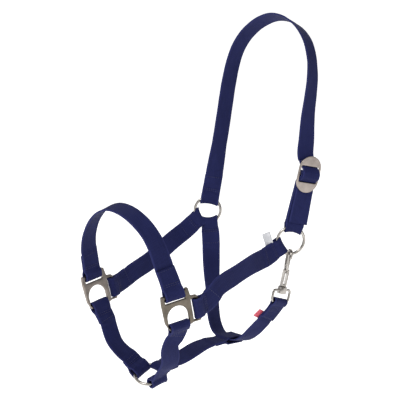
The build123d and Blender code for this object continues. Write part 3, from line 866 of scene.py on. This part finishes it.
def adjuster_at(d):
    """Place, width direction, normal and width at a distance above the adjuster's fold."""
    face, wide = near_faces(ADJUSTER_MEETS + d)
    return near_side(ADJUSTER_MEETS + d, 0), wide, face, WEB


thread = Thread()
thread.rows(adjuster_at, (0.6, 3.0, 13.0), out=(-1,))
thread.sew("near_adjuster_strap")

# the crown strap comes down to the slide, bends at top_bend and goes through its top slot
TOP_LEAN, TOP_REACH = 25.0, 7.0
crown_end = ring_end(OFF_RING, 80, WEB, cup=1.8)
lean_cos, lean_sin = cos_sin(TOP_LEAN)
top_bend = bar_top + 8.6
top_u, top_n = top_bend + TOP_REACH * lean_cos, tail_layer - TOP_REACH * lean_sin


def crown_shift(u):
    """The crown strap leaves the slide askew, and its tail lies a little to the front."""
    return -0.5 * max(0.0, u - bar_top - 4.5) if u > SLIDE_AT else 0.045 * (bar_low - u)


class CrownStrap(Strap):
    """Sewn round the off ring; the other end is threaded through the slide."""

    def __init__(self):
        self.sewn = (SEWN, 0.0)
        self.ends = (crown_end, None)
        across = [crown_end.plane.z, (0.97, -0.2, 0.12), (0.96, -0.2, 0.2),
                  (0.95, -0.1, 0.26), (0.9, 0, 0.42), (0.92, 0.05, 0.36),
                  (0.97, 0.18, 0.1), (0.98, -0.05, 0.05), -near_faces(top_u)[1]]
        route = [crown_end.start, (21.9, -70.9, -131), (14.9, -68.9, -90),
                 (5.5, -56.5, -38.5), (0.5, -23, -9), (0, 0, HALF - POLL), (1.5, 26, -6),
                 (5, 56.4, -25.6), (12.4, 75.8, -70), (21.6, 77.1, -130), (29.7, 81.8, -160),
                 near_side(top_u, top_n, crown_shift(top_u))]
        face, wide = near_faces(top_u)
        arrive = face * lean_sin - strap_up * lean_cos + wide * 0.4
        self.run = Run(route, crown_end.plane.x, arrive, across)

    def stations(self):
        threaded = side_stations(
            [(top_u, top_n), (top_bend, tail_layer), (bar_top + 0.6, crown_front + 0.8),
             (bar_low - 1.2, crown_front + 0.8), (bar_low - 8.4, tail_layer),
             (TAIL_END, tail_layer)],
            [3, 3.6, 3.6, 3], -1, crown_shift)
        return self.tail(0) + self.looped(0) + self.middle() + threaded[1:]


crown = CrownStrap()
ribbon("crown_strap", crown.stations(), 1.9)
thread = Thread()
thread.rows(lambda d: crown.beside(0, d), (*ROWS_AT, LEAD - START + SEWN - LAST_ROW))
thread.sew("crown_strap")


# -------------------- metal fittings
def plate(node, plane, outlines, thick, bevel, material):
    """A cast plate with holes and rounded edges, from closed outlines in millimetres."""
    curve = bpy.data.curves.new(node, "CURVE")
    curve.dimensions = "2D"
    curve.fill_mode = "BOTH"
    curve.extrude = (thick / 2 - bevel) * MM
    curve.bevel_depth = bevel * MM
    curve.bevel_resolution = 3
    curve.offset = -bevel * MM
    for outline in outlines:
        spline = curve.splines.new("POLY")
        spline.points.add(len(outline) - 1)
        for point, (x, y) in zip(spline.points, outline):
            point.co = (x * MM, y * MM, 0, 1)
        spline.use_cyclic_u = True
    holder = in_scene(node + "_outline", curve)
    mesh = bpy.data.meshes.new_from_object(
        holder.evaluated_get(bpy.context.evaluated_depsgraph_get()))
    bpy.data.objects.remove(holder)
    welded = bmesh.new()
    welded.from_mesh(mesh)
    bmesh.ops.remove_doubles(welded, verts=welded.verts, dist=1e-6)
    bmesh.ops.recalc_face_normals(welded, faces=welded.faces)
    welded.to_mesh(mesh)
    welded.free()
    mesh.transform(plane.matrix())
    shade(mesh, material)
    made = in_scene(node + "_casting", mesh)
    keep = made.modifiers.new("edges", "WEIGHTED_NORMAL")
    keep.keep_sharp = True
    stand_in(made, "halter", node)


def arch(half, low, shoulder, top):
    """A round-topped opening: straight sides, then an arc through the top."""
    rise = top - shoulder
    radius = (half ** 2 + rise ** 2) / (2 * rise)
    reach = math.asin(min(1.0, half / radius))
    if rise > half:
        reach = math.pi - reach
    out = [(half, low), (half, shoulder)]
    for t in np.linspace(reach, -reach, 24)[1:-1]:
        out.append((radius * math.sin(t), top - radius + radius * math.cos(t)))
    return out + [(-half, shoulder), (-half, low)]


def box_outline(x, y, wide, high, radius):
    """A rounded rectangle about (x, y)."""
    corners = [(x - wide / 2, y - high / 2), (x + wide / 2, y - high / 2),
               (x + wide / 2, y + high / 2), (x - wide / 2, y + high / 2)]
    return rounded(corners, radius, closed=True)


def cheek_square(node, plane, material):
    """Cast fitting with a round-topped opening, a top and a rear webbing slot and ears."""
    left, right = -EYE - RIM + 1, REAR_BAR + BAR
    top_slot, rear_slot = TOP_BAR - SLOT, REAR_BAR - SLOT
    top, bottom = TOP_BAR + BAR, EYE_LOW - BAR
    half_web = WEB / 2 + 0.8
    outline = [(left, top_slot + 1), (left + 1, top + 0.5), (left + 4, top + 0.5),
               (left + 5.5, top), (half_web, top), (half_web + 1.5, top + 3),
               (half_web + 5, top + 2.5), (rear_slot + 0.5, half_web + 4.5),
               (right - 2, half_web + 3.5), (right, half_web), (right, -half_web),
               (right - 0.5, -half_web - 3), (rear_slot, -half_web - 2.5),
               (EYE + 2, bottom), (-EYE + 0.5, bottom), (left + 1, EYE_LOW + 6)]
    outline = rounded(outline, 2.2, closed=True, pace=0.6)
    eye = rounded(arch(EYE, EYE_LOW, -1, top_slot - RIM + 0.3), 1.0, closed=True)
    slots = [box_outline(0, top_slot + SLOT / 2, 2 * half_web, SLOT, 1.2),
             box_outline(rear_slot + SLOT / 2, 0, SLOT, 2 * half_web, 1.2)]
    plate(node, plane, [outline, eye, *slots], PLATE, 1.3, material)


# the near square takes the darker copy of the nickel, painted shade; the off square has the
# plain satin nickel
cheek_square("near_cheek_square", NEAR_SQUARE, SHADED_CAST)
cheek_square("off_cheek_square", OFF_SQUARE, CAST)

slide_face, slide_wide = near_faces(SLIDE_AT)
SLIDE = Plane(near_side(SLIDE_AT, slide_mid, NEAR_SHIFT), slide_wide, slide_face)
stadium = []
for angle in range(0, 360, 6):
    c, s = cos_sin(angle)
    shift = (SLIDE_LONG - SLIDE_WIDE) / 2 * (1 if s >= 0 else -1)
    stadium.append((SLIDE_WIDE / 2 * c, SLIDE_WIDE / 2 * s + shift))
slots = [box_outline(0, y * (SLIDE_BAR + SLIDE_SLOT) / 2, SLIDE_INNER, SLIDE_SLOT, 1.5)
         for y in (1, -1)]
# the slide takes the lighter copy of the nickel, painted light
plate("oval_slide", SLIDE, [stadium, *slots], SLIDE_THICK, 0.9, LIT_CAST)


def tube(name, path, radii, body, node, slot, closed=False, sides=20,
         first=(0.3, 0.5, 0.81)):
    """A nickel wire along a path; radii is one number or one per point. first is the
    direction of the first side."""
    path = np.array(path, float)
    radii = np.broadcast_to(radii, (len(path),))
    slope = np.gradient(path, axis=0)
    if closed:
        slope = (np.roll(path, -1, axis=0) - np.roll(path, 1, axis=0)) / 2
    normal = vec(first)
    points = []
    for place, direction, radius in zip(path, slope, radii):
        direction = unit(direction)
        normal = unit(normal - direction * normal.dot(direction))
        other = np.cross(direction, normal)
        for k in range(sides):
            a = 2 * math.pi * k / sides
            points.append(place + (normal * math.cos(a) + other * math.sin(a)) * radius)
    faces = lofted(len(path), sides, closed)
    mesh_object(name, points, faces, body, NICKEL, node, slot)


def wire_ring(node, ring, body, weld):
    """A welded ring: the wire swells a little at the weld, an angle of the ring."""
    path, radii = [], []
    for angle in np.linspace(0, 360, 145)[:-1]:
        path.append(ring.origin + ring.turned(angle) * RING)
        near = ((angle - weld + 180) % 360) - 180
        radii.append(WIRE * (0.985 + 0.035 * math.exp(-(near / 3.2) ** 2)
                             - 0.03 * math.exp(-(near / 1.1) ** 2)))
    tube(node + "_wire", path, radii, body, node, "nickel", closed=True, first=ring.z)


wire_ring("near_cheek_ring", NEAR_RING, "near_ring", 150)
wire_ring("off_cheek_ring", OFF_RING, "off_ring", 20)
wire_ring("chin_ring", CHIN_RING, "lead_ring", -30)


def softened(node, width, kind):
    """A copy of a CAD node with its edges eased, in the node's place."""
    source = frame["nodes"][node]
    mesh = source.data.copy()
    shaped = bmesh.new()
    shaped.from_mesh(mesh)
    bmesh.ops.remove_doubles(shaped, verts=shaped.verts, dist=1e-6)
    bmesh.ops.dissolve_limit(shaped, angle_limit=math.radians(1.0), verts=shaped.verts,
                             edges=shaped.edges)
    shaped.to_mesh(mesh)
    shaped.free()
    shade(mesh, NICKEL)
    made = in_scene(node + kind, mesh)
    ease = made.modifiers.new("ease", "BEVEL")
    ease.width = width * MM
    ease.segments = 3
    ease.limit_method = "ANGLE"
    ease.angle_limit = math.radians(35)
    ease.harden_normals = True
    stand_in(made, source["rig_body"], node)


softened("snap_body", 0.55, "_casting")
softened("snap_gate", 0.35, "_stamping")
softened("gate_pin", 0.3, "_rivet")
softened("snap_eye", 0.8, "_casting")

SPRING_TURNS, SPRING_RADIUS, SPRING_WIRE = 2.5, 1.45, 0.2
pin_at = SNAP.at(*GATE_PIN)
coil = []
for t in np.linspace(0, 1, 90):
    a = 2 * math.pi * SPRING_TURNS * t
    coil.append(pin_at + (SNAP.x * math.cos(a) + SNAP.y * math.sin(a)) * SPRING_RADIUS
                + SNAP.z * (0.45 + 0.8 * t))
tube("gate_spring_coil", coil, SPRING_WIRE, "gate", "gate_spring", "spring_steel", sides=10)


# -------------------- labels
def leaf(name, plane, wide, high, thick, curl, material, node, slot):
    """A sewn tab: a thin sheet with a soft curl, x along the strap and y away from it."""
    nx, ny = 9, 13
    points, faces = [], []
    for face in (1, -1):
        for j in range(ny):
            for i in range(nx):
                x, y = (i / (nx - 1) - 0.5) * wide, (j / (ny - 1)) * high
                bow = curl * (y / high) ** 2 + 0.25 * math.sin(3.1 * x / wide) * y / high
                points.append(plane.at(x, y, bow + face * thick / 2))

    def at(side, i, j):
        return side * nx * ny + j * nx + i

    for j in range(ny - 1):
        for i in range(nx - 1):
            faces.append((at(0, i, j), at(0, i + 1, j), at(0, i + 1, j + 1), at(0, i, j + 1)))
            faces.append((at(1, i, j), at(1, i, j + 1), at(1, i + 1, j + 1), at(1, i + 1, j)))
    for i in range(nx - 1):
        faces.append((at(0, i, 0), at(1, i, 0), at(1, i + 1, 0), at(0, i + 1, 0)))
        faces.append((at(0, i, ny - 1), at(0, i + 1, ny - 1), at(1, i + 1, ny - 1),
                      at(1, i, ny - 1)))
    for j in range(ny - 1):
        faces.append((at(0, 0, j), at(0, 0, j + 1), at(1, 0, j + 1), at(1, 0, j)))
        faces.append((at(0, nx - 1, j), at(1, nx - 1, j), at(1, nx - 1, j + 1),
                      at(0, nx - 1, j + 1)))
    mesh_object(name, points, faces, "halter", material, node, slot)


THIN_SATIN, FOLDED_RIBBON = 0.4, 1.0   # thickness
LABEL_AT, TAG_AT = 0.985, 0.93         # shares of the straps' runs
place, direction, wide, normal = near_cheek.run.read(LABEL_AT * near_cheek.run.length)
wide = wide if wide[2] > 0 else -wide
face = normal if normal[1] < 0 else -normal
hang_way = unit(direction + vec(0.1, 0.55, 0))
leaf("care_label_satin", Plane(place + wide * 10.0 + face * (THICK + 0.5) + vec(-2.4, 2.4, 0),
                               hang_way, np.cross(hang_way, wide)),
     11.0, 19.0, THIN_SATIN, 1.0, WHITE_SATIN, "care_label", "label")
place, direction, wide, normal = throat.run.read(TAG_AT * throat.run.length)
front_edge = wide if wide[0] > 0 else -wide
face = normal if normal[2] > 0 else -normal
leaf("edge_tag_ribbon", Plane(place + front_edge * 7.0 + face * (THICK + 0.9), direction,
                              np.cross(direction, front_edge)),
     12.5, 11.5, FOLDED_RIBBON, -1.0, RED_RIBBON, "edge_tag", "tag")

# -------------------- stage
FLOOR_DROP = 0.16          # metres below the halter
FLOOR_HALF = 400.0         # metres from its middle to its edges
PAPER = Nodes("paper")
PAPER.put(Base_Color=(0.9, 0.9, 0.9, 1), Roughness=0.9, Emission_Color=(1, 1, 1, 1),
          Emission_Strength=0.75)
floor_low = cad_box[0][2] - FLOOR_DROP
corners = [(FLOOR_HALF * x, FLOOR_HALF * y, floor_low)
           for x, y in ((-1, -1), (1, -1), (1, 1), (-1, 1))]
sheet = bpy.data.meshes.new("floor")
sheet.from_pydata(corners, [], [(0, 1, 2, 3)])
sheet.materials.append(PAPER.material)
floor = in_scene("floor", sheet)


def area_light(name, place, target, size, power):
    """A rectangular lamp in metres and watts, turned to its target."""
    light = bpy.data.lights.new(name, "AREA")
    light.shape = "RECTANGLE"
    light.size, light.size_y = size
    light.energy = power
    holder = in_scene(name, light)
    holder.location = place
    holder.rotation_euler = (Vector(target) - Vector(place)).to_track_quat("-Z", "Y").to_euler()


middle = (0.14, 0.0, -0.23)
area_light("key", (1.5, 0.1, 1.3), middle, (0.9, 0.9), 22)
area_light("fill", (0.2, 1.9, 0.6), middle, (0.6, 1.2), 3)
area_light("back", (-1.3, -0.9, 0.9), middle, (1.0, 0.6), 8)

# light and dark parts of the room, for the metal to mirror
world = bpy.data.worlds.new("studio")
scene.world = world
world.use_nodes = True
nodes, links = world.node_tree.nodes, world.node_tree.links
backdrop = nodes["Background"]
where = nodes.new("ShaderNodeTexCoord")
sky = nodes.new("ShaderNodeTexNoise")
sky.inputs["Scale"].default_value = 1.7
sky.inputs["Detail"].default_value = 1.0
panels = nodes.new("ShaderNodeValToRGB")
stops = ((0.42, (0.16, 0.155, 0.15, 1)), (0.58, (1, 1, 1, 1)))
for element, (position, colour) in zip(panels.color_ramp.elements, stops):
    element.position = position
    element.color = colour
links.new(where.outputs["Generated"], sky.inputs["Vector"])
links.new(sky.outputs[0], panels.inputs[0])
links.new(panels.outputs[0], backdrop.inputs["Color"])
backdrop.inputs["Strength"].default_value = 0.8

# -------------------- camera
CAMERA_AZIMUTH, CAMERA_HEIGHT = 45.0, 11.8   # degrees
CAMERA_AWAY = 1.3          # metres from the target
level, rise = cos_sin(CAMERA_HEIGHT)
target = Vector((0.1413, 0.0, -0.2309 + POLL * MM))
back_off = Vector((*heading(CAMERA_AZIMUTH)[:2] * level, rise))
lens = bpy.data.cameras.new("camera")
lens.sensor_width, lens.lens = 36.0, 91.26
camera = in_scene("camera", lens)
camera.location = target + back_off * CAMERA_AWAY
camera.rotation_euler = (-back_off).to_track_quat("-Z", "Y").to_euler()
scene.camera = camera
scene.view_settings.view_transform = "Standard"
